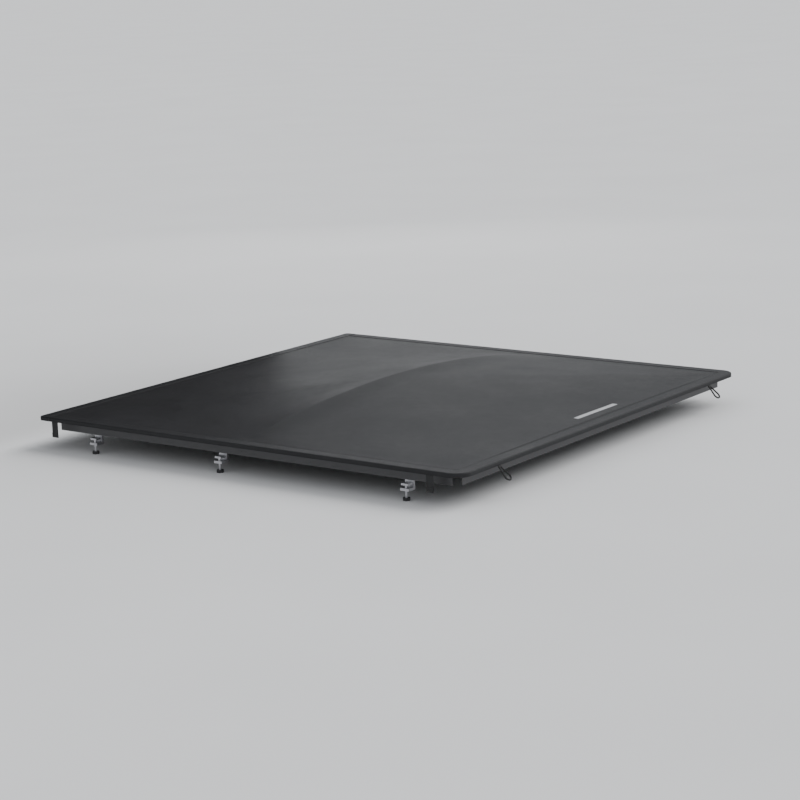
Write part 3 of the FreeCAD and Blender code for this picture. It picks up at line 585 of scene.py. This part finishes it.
def make_tab(side, end):
    """A pull tab of webbing hanging over the hem, its end turned back and box-stitched."""
    node = f"{side}_{end}_pull_tab"
    low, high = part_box(node)
    sign = SIDES[side]
    inner = min(abs(low.x), abs(high.x))
    middle_y, half = (low.y + high.y) / 2, (high.y - low.y) / 2
    # centre line from the top, down, round the fold and up again: (outward, height)
    top, bottom = high.z + TAB_TUCK, low.z + TAB_LOW
    line = []
    for k in range(TAB_ROWS + 1):
        share = k / TAB_ROWS
        line.append((inner + TAB_THICK / 2 + TAB_BOW * math.sin(share * math.pi), top + (bottom - top) * share))
    for angle in (-60, -30, 0, 30, 60):
        turn = math.radians(angle)
        line.append((inner + TAB_THICK + TAB_GAP / 2 + math.sin(turn) * TAB_TURN_WIDE,
                     bottom - math.cos(turn) * TAB_TURN_DEEP))
    line += [(inner + TAB_THICK * 1.5 + TAB_GAP, bottom + TAB_FOLD * k / TAB_END_ROWS)
             for k in range(TAB_END_ROWS + 1)]
    across = spread(-half, half, half / 6)
    vertices, flat, faces = [], [], []
    run = 0.0
    for k, (out, z) in enumerate(line):
        if k:
            run += math.hypot(out - line[k - 1][0], z - line[k - 1][1])
        for y in across:
            cup = TAB_CUP * (y / half) ** 2
            vertices.append((sign * (out + cup), middle_y + y, z))
            flat.append((y, run))
    count = len(across)
    for k in range(len(line) - 1):
        for i in range(count - 1):
            quad = (k * count + i, k * count + i + 1, (k + 1) * count + i + 1, (k + 1) * count + i)
            faces.append(quad if sign < 0 else quad[::-1])
    tab = new_object(f"{side}_{end}_webbing", vertices, faces, flat)
    solid = tab.modifiers.new("thickness", "SOLIDIFY")
    solid.thickness, solid.offset = TAB_THICK, 0
    edge = tab.modifiers.new("edge", "BEVEL")
    edge.width, edge.segments, edge.limit_method = TAB_BEVEL, 2, "ANGLE"
    apply_modifiers(tab)
    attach(tab, node)
    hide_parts(node)
    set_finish(tab, "webbing")
    # box stitching over the turned-back end
    out = inner + TAB_THICK * 2 + TAB_GAP + BOX_PROUD
    wide, box_low, box_high = half - BOX_RIM, low.z + BOX_LOW, low.z + TAB_FOLD - BOX_TOP
    box = [(-wide, box_low), (wide, box_low), (wide, box_high), (-wide, box_high), (-wide, box_low)]
    thread_points, thread_faces = [], []
    for (y0, z0), (y1, z1) in zip(box, box[1:]):
        length = math.hypot(y1 - y0, z1 - z0)
        steps = max(2, round(length / BOX_PITCH))
        along = Vector((0, y1 - y0, z1 - z0)).normalized() * BOX_SHORT
        for step in range(steps):
            share = (step + 0.5) / steps
            place = Vector((sign * out, middle_y + y0 + (y1 - y0) * share, z0 + (z1 - z0) * share))
            add_stitch(thread_points, thread_faces, place, along, Vector((sign, 0, 0)))
    box_thread = new_object(f"{side}_{end}_tab_thread", thread_points, thread_faces)
    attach(box_thread, node)
    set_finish(box_thread, "webbing")


LOOP_ROOT_LONG, LOOP_ROOT_RADIUS = 0.016, 0.0031
LOOP_ROOT_IN, LOOP_ROOT_DOWN = 0.0016, 0.0012  # its centre line, from the loop's upper end
LOOP_ROOT_ROUND, LOOP_ROOT_SIDES = 5, 16


def make_loop_root(side):
    """The crossbar moulded on a loop's two ends, which is sewn under the hem."""
    low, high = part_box(f"{side}_pull_loop")
    middle = Vector(((low.x + high.x) / 2, high.y - LOOP_ROOT_IN, high.z - LOOP_ROOT_DOWN))
    stations = [(-LOOP_ROOT_LONG / 2, LOOP_ROOT_RADIUS * 0.15)]
    for k in range(1, LOOP_ROOT_ROUND + 1):
        turn = math.pi / 2 * (1 - k / LOOP_ROOT_ROUND)
        stations.append((-LOOP_ROOT_LONG / 2 + LOOP_ROOT_RADIUS * (1 - math.sin(turn)),
                         LOOP_ROOT_RADIUS * math.cos(turn)))
    stations += [(-x, r) for x, r in reversed(stations)]
    turns = [2 * math.pi * k / LOOP_ROOT_SIDES for k in range(LOOP_ROOT_SIDES)]
    vertices = [middle + Vector((x, r * math.cos(turn), r * math.sin(turn)))
                for x, r in stations for turn in turns]
    root = new_object(f"{side}_loop_root", vertices, tube_faces(LOOP_ROOT_SIDES, len(stations)))
    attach(root, f"{side}_pull_loop")
    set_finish(root, "loop_rubber")


SLEEVE_CLOTH = 0.0007
SLEEVE_CORNER = 0.002
SLEEVE_LOW = 0.0003                  # it lies this much under the top of the solid that it stands for
SLEEVE_BOUND = 0.012                 # length of each bound end, which has no ripples
SLEEVE_STEP = 0.004


def make_sleeve():
    """The cloth sleeve round the middle of the bow: a flat tube with slack ripples and bound ends."""
    low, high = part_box("bow_sleeve")
    tops = {}
    for vertex in NODES["bow_sleeve"].data.vertices:
        tops.setdefault(round(vertex.co.x, 4), []).append(vertex.co.z)
    half_span = high.x
    end_top = max(z for x, zs in tops.items() if x > half_span - 0.001 for z in zs)
    sagitta = high.z - end_top
    radius = (half_span ** 2 + sagitta ** 2) / (2 * sagitta)
    middle_y, half_y = (low.y + high.y) / 2, (high.y - low.y) / 2
    tall = high.z - sagitta - low.z
    ring = []
    for turn in range(4):
        cy = (half_y - SLEEVE_CORNER) * (1 if turn in (0, 3) else -1)
        cz = (tall / 2 - SLEEVE_CORNER) * (1 if turn in (0, 1) else -1)
        for part in range(4):
            angle = math.radians(90 * turn + 30 * part)
            ring.append((cy + SLEEVE_CORNER * math.cos(angle), cz + SLEEVE_CORNER * math.sin(angle)))
    xs = spread(-half_span, half_span, SLEEVE_STEP)
    vertices, flat, faces = [], [], []
    for x in xs:
        drop = radius - math.sqrt(radius ** 2 - x ** 2)
        bound = smooth_step(1 - (half_span - abs(x)) / SLEEVE_BOUND)
        for k, (y, z) in enumerate(ring):
            slack = ripple(x, k, 60.0, 0.35, 3.3, 0.00035) * (1 - bound)
            grow = 1 + slack / half_y * 4
            vertices.append((x, middle_y + y * grow, high.z - drop - tall / 2 + z + slack - SLEEVE_LOW))
            flat.append((x, k * SLEEVE_STEP))
    count = len(ring)
    for k in range(len(xs) - 1):
        for i in range(count):
            faces.append((k * count + i, (k + 1) * count + i, (k + 1) * count + (i + 1) % count,
                          k * count + (i + 1) % count))
    sleeve = new_object("bow_sleeve_cloth", vertices, faces, flat)
    thicken(sleeve, SLEEVE_CLOTH)
    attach(sleeve, "front_panel")
    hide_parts("bow_sleeve")
    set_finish(sleeve, "sleeve_cloth")


# ---------------------------------------------------------------- materials
class Shader:
    """A Principled material and short calls for the nodes that feed it."""

    def __init__(self, name, colour, roughness, metallic=0.0, **sockets):
        self.material = bpy.data.materials.new(name)
        self.material.use_nodes = True
        self.nodes = self.material.node_tree.nodes
        self.links = self.material.node_tree.links
        self.base = self.nodes["Principled BSDF"]
        self.base.inputs["Base Color"].default_value = (*colour, 1)
        self.base.inputs["Roughness"].default_value = roughness
        self.base.inputs["Metallic"].default_value = metallic
        for socket, value in sockets.items():
            self.base.inputs[socket.replace("_", " ")].default_value = value
        self.normal = None

    def add(self, kind, **values):
        """A node, with its properties or its inputs set by name."""
        node = self.nodes.new(kind)
        for key, value in values.items():
            if hasattr(node, key) and key not in node.inputs:
                setattr(node, key, value)
            else:
                node.inputs[key.replace("_", " ")].default_value = value
        return node

    def places(self, flat=False, scale=(1, 1, 1), turn=0.0):
        """Coordinates in metres: the sheet's own flat ones, or the object's."""
        if flat:
            source = self.add("ShaderNodeUVMap", uv_map="flat").outputs["UV"]
        else:
            source = self.add("ShaderNodeTexCoord").outputs["Object"]
        mapping = self.add("ShaderNodeMapping")
        mapping.inputs["Scale"].default_value = scale
        mapping.inputs["Rotation"].default_value = (0, 0, turn)
        self.links.new(source, mapping.inputs["Vector"])
        return mapping.outputs["Vector"]

    def cloud(self, vector, scale, detail=3.0, rough=0.5):
        """Noise, about 0.2 to 0.8."""
        node = self.add("ShaderNodeTexNoise", Scale=scale, Detail=detail, Roughness=rough)
        self.links.new(vector, node.inputs["Vector"])
        return node.outputs["Fac"]

    def cells(self, vector, scale, feature="DISTANCE_TO_EDGE"):
        """Voronoi distance."""
        node = self.add("ShaderNodeTexVoronoi", feature=feature)
        node.inputs["Scale"].default_value = scale
        self.links.new(vector, node.inputs["Vector"])
        return node.outputs["Distance"]

    def waves(self, vector, scale, direction="X"):
        """Sine bands."""
        node = self.add("ShaderNodeTexWave", wave_type="BANDS", bands_direction=direction, wave_profile="SIN")
        node.inputs["Scale"].default_value = scale
        self.links.new(vector, node.inputs["Vector"])
        return node.outputs["Fac"]

    def sum(self, first, second, kind="ADD"):
        """Two values joined by a Math node."""
        node = self.add("ShaderNodeMath", operation=kind)
        for socket, value in zip(node.inputs, (first, second)):
            if isinstance(value, (int, float)):
                socket.default_value = value
            else:
                self.links.new(value, socket)
        return node.outputs["Value"]

    def spread(self, value, low, high, start=0.3, end=0.7):
        """A value mapped from start..end onto low..high."""
        node = self.add("ShaderNodeMapRange")
        for key, number in (("From Min", start), ("From Max", end), ("To Min", low), ("To Max", high)):
            node.inputs[key].default_value = number
        self.links.new(value, node.inputs["Value"])
        return node.outputs["Result"]

    def colours(self, value, *stops):
        """A colour ramp of (place, colour) stops, onto the base colour."""
        node = self.add("ShaderNodeValToRGB")
        ramp_stops = node.color_ramp.elements
        while len(ramp_stops) < len(stops):
            ramp_stops.new(0.5)
        for element, (place, colour) in zip(ramp_stops, stops):
            element.position, element.color = place, (*colour, 1)
        self.links.new(value, node.inputs["Fac"])
        self.links.new(node.outputs["Color"], self.base.inputs["Base Color"])
        return self

    def rough(self, value):
        """Roughness from a value."""
        self.links.new(value, self.base.inputs["Roughness"])
        return self

    def bump(self, value, depth, strength=1.0):
        """Relief depth metres deep, on top of any before it."""
        node = self.add("ShaderNodeBump", Strength=strength, Distance=depth)
        self.links.new(value, node.inputs["Height"])
        if self.normal is not None:
            self.links.new(self.normal, node.inputs["Normal"])
        self.normal = node.outputs["Normal"]
        self.links.new(self.normal, self.base.inputs["Normal"])
        return self


def vinyl():
    """Black coated fabric: fine pebble grain, a hint of the scrim below it, duller and shinier patches."""
    shader = Shader("cover_vinyl_grain", (0.03, 0.03, 0.032), 0.6, Specular_IOR_Level=0.15)
    at = shader.places(flat=True)
    broad = shader.cloud(at, 2.6, 4.0, 0.6)
    dust = shader.cloud(at, 38.0, 6.0, 0.65)
    mixed = shader.sum(shader.sum(broad, 0.65, "MULTIPLY"), shader.sum(dust, 0.35, "MULTIPLY"))
    shader.colours(mixed, (0.33, (0.0165, 0.0165, 0.0175)), (0.5, (0.022, 0.022, 0.0235)),
                   (0.68, (0.029, 0.029, 0.031)))
    shader.rough(shader.spread(mixed, 0.46, 0.62))
    weave = shader.sum(shader.waves(at, 190.0, "X"), shader.waves(at, 190.0, "Y"))
    shader.bump(weave, 0.00006, 0.6)
    shader.bump(shader.cells(at, 450.0), 0.0004, 0.7)
    shader.bump(shader.cloud(at, 1400.0, 2.0), 0.0001, 0.4)
    return shader.material


def powder_coat():
    """Satin black powder coat: orange-peel relief and patchy tone."""
    shader = Shader("rail_coat", (0.045, 0.045, 0.048), 0.42, Specular_IOR_Level=0.5)
    at = shader.places()
    patch = shader.cloud(at, 9.0, 5.0, 0.6)
    shader.colours(patch, (0.3, (0.034, 0.034, 0.036)), (0.7, (0.056, 0.056, 0.06)))
    shader.rough(shader.spread(patch, 0.36, 0.52))
    return shader.bump(shader.cloud(at, 900.0, 2.0), 0.00008, 0.6).material


def moulded():
    """Glass-filled nylon: fine spark-eroded grain, faint flow marks."""
    shader = Shader("nylon", (0.03, 0.03, 0.03), 0.5, Specular_IOR_Level=0.45)
    at = shader.places()
    flow = shader.cloud(at, 30.0, 4.0, 0.7)
    shader.colours(flow, (0.3, (0.022, 0.022, 0.023)), (0.7, (0.042, 0.042, 0.044)))
    shader.rough(shader.spread(flow, 0.42, 0.6))
    return shader.bump(shader.cells(at, 1500.0, "F1"), 0.00006, 0.6).material


def rubber(name, tone, scale):
    """Matt rubber: open fine pores and a chalky bloom."""
    shader = Shader(name, (tone, tone, tone), 0.8, Specular_IOR_Level=0.3)
    at = shader.places()
    bloom = shader.cloud(at, 45.0, 5.0, 0.7)
    shader.colours(bloom, (0.35, (tone * 0.8,) * 3), (0.75, (tone * 1.7,) * 3))
    shader.rough(shader.spread(bloom, 0.68, 0.92))
    return shader.bump(shader.cells(at, scale, "F1"), 0.0001, 0.5).material


def extruded_strip():
    """Extruded PVC strip: fine lines along its length."""
    shader = Shader("strip_plastic", (0.05, 0.05, 0.05), 0.45, Specular_IOR_Level=0.45)
    lines = shader.cloud(shader.places(scale=(900, 6, 900)), 1.0, 2.0)
    tone = shader.cloud(shader.places(), 25.0, 4.0)
    shader.colours(tone, (0.3, (0.036, 0.036, 0.037)), (0.7, (0.062, 0.062, 0.064)))
    shader.rough(shader.spread(tone, 0.38, 0.55))
    return shader.bump(lines, 0.00006, 0.5).material


def metal(name, dark, light, low, high, stretch):
    """Bare or plated metal: drawn lines in one direction, patches of duller plating."""
    shader = Shader(name, light, low, 1.0)
    patches = shader.cloud(shader.places(), 60.0, 5.0, 0.65)
    lines = shader.cloud(shader.places(scale=stretch), 1.0, 3.0, 0.6)
    shader.colours(shader.sum(shader.sum(patches, 0.6, "MULTIPLY"), shader.sum(lines, 0.4, "MULTIPLY")),
                   (0.35, dark), (0.65, light))
    shader.rough(shader.spread(patches, low, high))
    return shader.bump(lines, 0.00003, 0.4).material


def webbing():
    """Woven polyester: ribs across the width, broken by the warp in a small chevron."""
    shader = Shader("webbing_weave", (0.016, 0.016, 0.016), 0.72, Specular_IOR_Level=0.35,
                    Sheen_Weight=0.25, Sheen_Roughness=0.4)
    at = shader.places(flat=True)
    ribs = shader.waves(at, 105.0, "Y")
    warp = shader.waves(at, 150.0, "X")
    chevron = shader.waves(shader.places(flat=True, turn=math.radians(40)), 120.0, "X")
    weave = shader.sum(shader.sum(ribs, warp, "MULTIPLY"), shader.sum(chevron, 0.5, "MULTIPLY"))
    fuzz = shader.cloud(at, 900.0, 3.0)
    shader.colours(shader.sum(shader.sum(weave, 0.6, "MULTIPLY"), shader.sum(fuzz, 0.4, "MULTIPLY")),
                   (0.2, (0.007, 0.007, 0.007)), (0.8, (0.028, 0.028, 0.029)))
    shader.rough(shader.spread(fuzz, 0.6, 0.85))
    return shader.bump(weave, 0.00025, 0.8).bump(fuzz, 0.00006, 0.4).material


def sleeve_cloth():
    """Plain-woven polyester cloth."""
    shader = Shader("sleeve_weave", (0.03, 0.03, 0.03), 0.75, Specular_IOR_Level=0.3, Sheen_Weight=0.3)
    at = shader.places(flat=True)
    weave = shader.sum(shader.waves(at, 260.0, "X"), shader.waves(at, 260.0, "Y"), "MULTIPLY")
    tone = shader.cloud(at, 60.0, 4.0)
    shader.colours(shader.sum(shader.sum(weave, 0.5, "MULTIPLY"), shader.sum(tone, 0.5, "MULTIPLY")),
                   (0.2, (0.012, 0.012, 0.012)), (0.8, (0.045, 0.045, 0.046)))
    shader.rough(shader.spread(tone, 0.62, 0.86))
    return shader.bump(weave, 0.00012, 0.7).material


def thread():
    """Waxed black thread, a little brighter than the cloth."""
    shader = Shader("seam_thread", (0.03, 0.03, 0.03), 0.55, Specular_IOR_Level=0.5)
    twist = shader.waves(shader.places(turn=math.radians(45)), 700.0, "X")
    tone = shader.cloud(shader.places(), 70.0, 3.0)
    shader.colours(tone, (0.3, (0.022, 0.022, 0.022)), (0.7, (0.05, 0.05, 0.052)))
    shader.rough(shader.spread(tone, 0.45, 0.65))
    return shader.bump(twist, 0.0001, 0.6).material


def pale_patch():
    """Pale grey welded vinyl, a little weathered."""
    shader = Shader("patch_vinyl", (0.42, 0.42, 0.43), 0.5, Specular_IOR_Level=0.4)
    at = shader.places(flat=True)
    wear = shader.cloud(at, 55.0, 6.0, 0.7)
    shader.colours(wear, (0.3, (0.30, 0.30, 0.31)), (0.5, (0.42, 0.42, 0.43)), (0.72, (0.48, 0.48, 0.49)))
    shader.rough(shader.spread(wear, 0.42, 0.6))
    return shader.bump(shader.cells(at, 520.0), 0.0001, 0.4).material


def paint(thing, material):
    """Give an object this one material."""
    thing.data.materials.clear()
    thing.data.materials.append(material)


def slot_materials():
    """One material for each of the record's slots."""
    drawn_x, drawn_y, turned = (8, 700, 700), (700, 8, 700), (500, 500, 12)  # fineness of the lines on x, y and z
    return {
        "rail_powder_coat": powder_coat(),
        "seal_rubber": rubber("seal_foam", 0.020, 1100.0),
        "moulded_plastic": moulded(),
        "clip_plastic": extruded_strip(),
        # darkest and lightest colour, least and most roughness, and which way the lines run
        "zinc_steel": metal("zinc_plate", (0.45, 0.45, 0.47), (0.70, 0.70, 0.72), 0.22, 0.40, turned),
        "bolt_steel": metal("bolt_plate", (0.38, 0.38, 0.40), (0.62, 0.62, 0.64), 0.25, 0.45, turned),
        "spring_steel": metal("spring_wire", (0.40, 0.40, 0.42), (0.60, 0.60, 0.62), 0.2, 0.35, drawn_x),
        "clamp_casting": metal("clamp_aluminium", (0.42, 0.42, 0.44), (0.60, 0.60, 0.62), 0.36, 0.52, drawn_y),
        "bow_aluminium": metal("bow_tube", (0.55, 0.55, 0.57), (0.76, 0.76, 0.78), 0.28, 0.42, drawn_x),
        "webbing": webbing(),
        "loop_rubber": rubber("loop_moulding", 0.022, 1600.0),
        "cover_vinyl": vinyl(),
        "sleeve_cloth": sleeve_cloth(),
    }


# ---------------------------------------------------------------- building the pieces
make_cover()
make_front_hem()
make_seams()
patch = make_patch()
make_clip_strips()
for side_name in SIDES:
    for end_name in ("front", "rear"):
        make_tab(side_name, end_name)
    make_loop_root(side_name)
make_sleeve()

MATERIALS = slot_materials()
seam_thread = thread()
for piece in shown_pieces():
    if "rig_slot" in piece:
        paint(piece, MATERIALS[piece["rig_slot"]])
for entry in frame["record"]["subparts"]:
    if not NODES[entry["node"]].hide_render:
        paint(NODES[entry["node"]], MATERIALS[entry["material_slot"]])
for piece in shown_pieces():
    if piece.name.endswith(("_seam", "_thread")):
        paint(piece, seam_thread)
paint(patch, pale_patch())

KNOB_THICK = 0.009                   # of each clamp bolt's hand knob, at its lower end
KNOB_ROUND_OFF = 0.0001
for name, node in NODES.items():
    if name.endswith("_bolt"):
        node.data.materials.append(MATERIALS["moulded_plastic"])
        knob_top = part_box(name)[0].z + KNOB_THICK + KNOB_ROUND_OFF
        for face in node.data.polygons:
            if max(node.data.vertices[k].co.z for k in face.vertices) < knob_top:
                face.material_index = 1


# ---------------------------------------------------------------- studio
def studio_surface(name, colour, roughness):
    """Plain matt surface with the faintest mottling."""
    shader = Shader(name, colour, roughness, Specular_IOR_Level=0.2)
    tone = shader.cloud(shader.places(), 1.5, 3.0)
    shader.colours(tone, (0.3, tuple(c * 0.97 for c in colour)), (0.7, colour))
    return shader.material


def aimed(name, data, direction, place=(0, 0, 0)):
    """A lamp or camera at place, looking along direction."""
    thing = bpy.data.objects.new(name, data)
    thing.location = place
    thing.rotation_mode = "QUATERNION"
    thing.rotation_quaternion = direction.to_track_quat("-Z", "Y")
    bpy.context.scene.collection.objects.link(thing)
    return thing


visual_lo, visual_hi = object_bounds()
centre = (visual_lo + visual_hi) / 2
FLOOR_HALF = 80.0                    # far enough for its edge to be out of sight
FLOOR_CORNERS = ((-1, -1), (1, -1), (1, 1), (-1, 1))
floor = new_object("floor", [(x * FLOOR_HALF, y * FLOOR_HALF, visual_lo.z) for x, y in FLOOR_CORNERS],
                   [(0, 1, 2, 3)])
paint(floor, studio_surface("floor_paper", (0.74, 0.74, 0.74), 0.9))

world = bpy.data.worlds.new("studio")
bpy.context.scene.world = world
world.use_nodes = True
world.node_tree.nodes["Background"].inputs["Color"].default_value = (0.80, 0.82, 0.85, 1)
world.node_tree.nodes["Background"].inputs["Strength"].default_value = 1.0

RIM_PLACE = Vector((3.9, 2.1, 1.15))
rim = bpy.data.lights.new("behind_right", "AREA")
rim.energy, rim.shape, rim.size, rim.size_y = 9, "RECTANGLE", 2.6, 0.5
aimed("behind_right", rim, centre - RIM_PLACE, RIM_PLACE)

sky = bpy.data.lights.new("sky", "SUN")
sky.energy, sky.angle = 2.4, math.radians(45)
aimed("sky", sky, Vector((-0.70, 0.55, -0.80)))

# a black card past the front edge, where a cab would stand: it darkens the sheet near it and isn't seen itself
FLAG_LEFT, FLAG_RIGHT, FLAG_LOW, FLAG_TOP = -1.1, 0.55, 0.02, 1.2
FLAG_FOOT_Y, FLAG_HEAD_Y = FRONT_Y + 0.12, FRONT_Y + 0.32
card = [(FLAG_LEFT, FLAG_FOOT_Y, FLAG_LOW), (FLAG_RIGHT, FLAG_FOOT_Y, FLAG_LOW),
        (FLAG_RIGHT, FLAG_HEAD_Y, FLAG_TOP), (FLAG_LEFT, FLAG_HEAD_Y, FLAG_TOP)]
flag = new_object("flag_card", card, [(0, 1, 2, 3)])
paint(flag, studio_surface("flag_cloth", (0.01, 0.01, 0.01), 0.95))
flag.visible_camera = flag.visible_shadow = False

CAMERA_AZIMUTH, CAMERA_ELEVATION = math.radians(-53.5), math.radians(12.0)
CAMERA_DISTANCE, CAMERA_LENS = 7.25, 100
CAMERA_ROLL = math.radians(-2.0)
back = Vector((math.sin(CAMERA_AZIMUTH) * math.cos(CAMERA_ELEVATION),
               -math.cos(CAMERA_AZIMUTH) * math.cos(CAMERA_ELEVATION), math.sin(CAMERA_ELEVATION)))
camera = aimed("camera", bpy.data.cameras.new("camera"), -back, centre + back * CAMERA_DISTANCE)
camera.data.lens = CAMERA_LENS
camera.rotation_quaternion = camera.rotation_quaternion @ Quaternion((0, 0, 1), CAMERA_ROLL)
bpy.context.scene.camera = camera
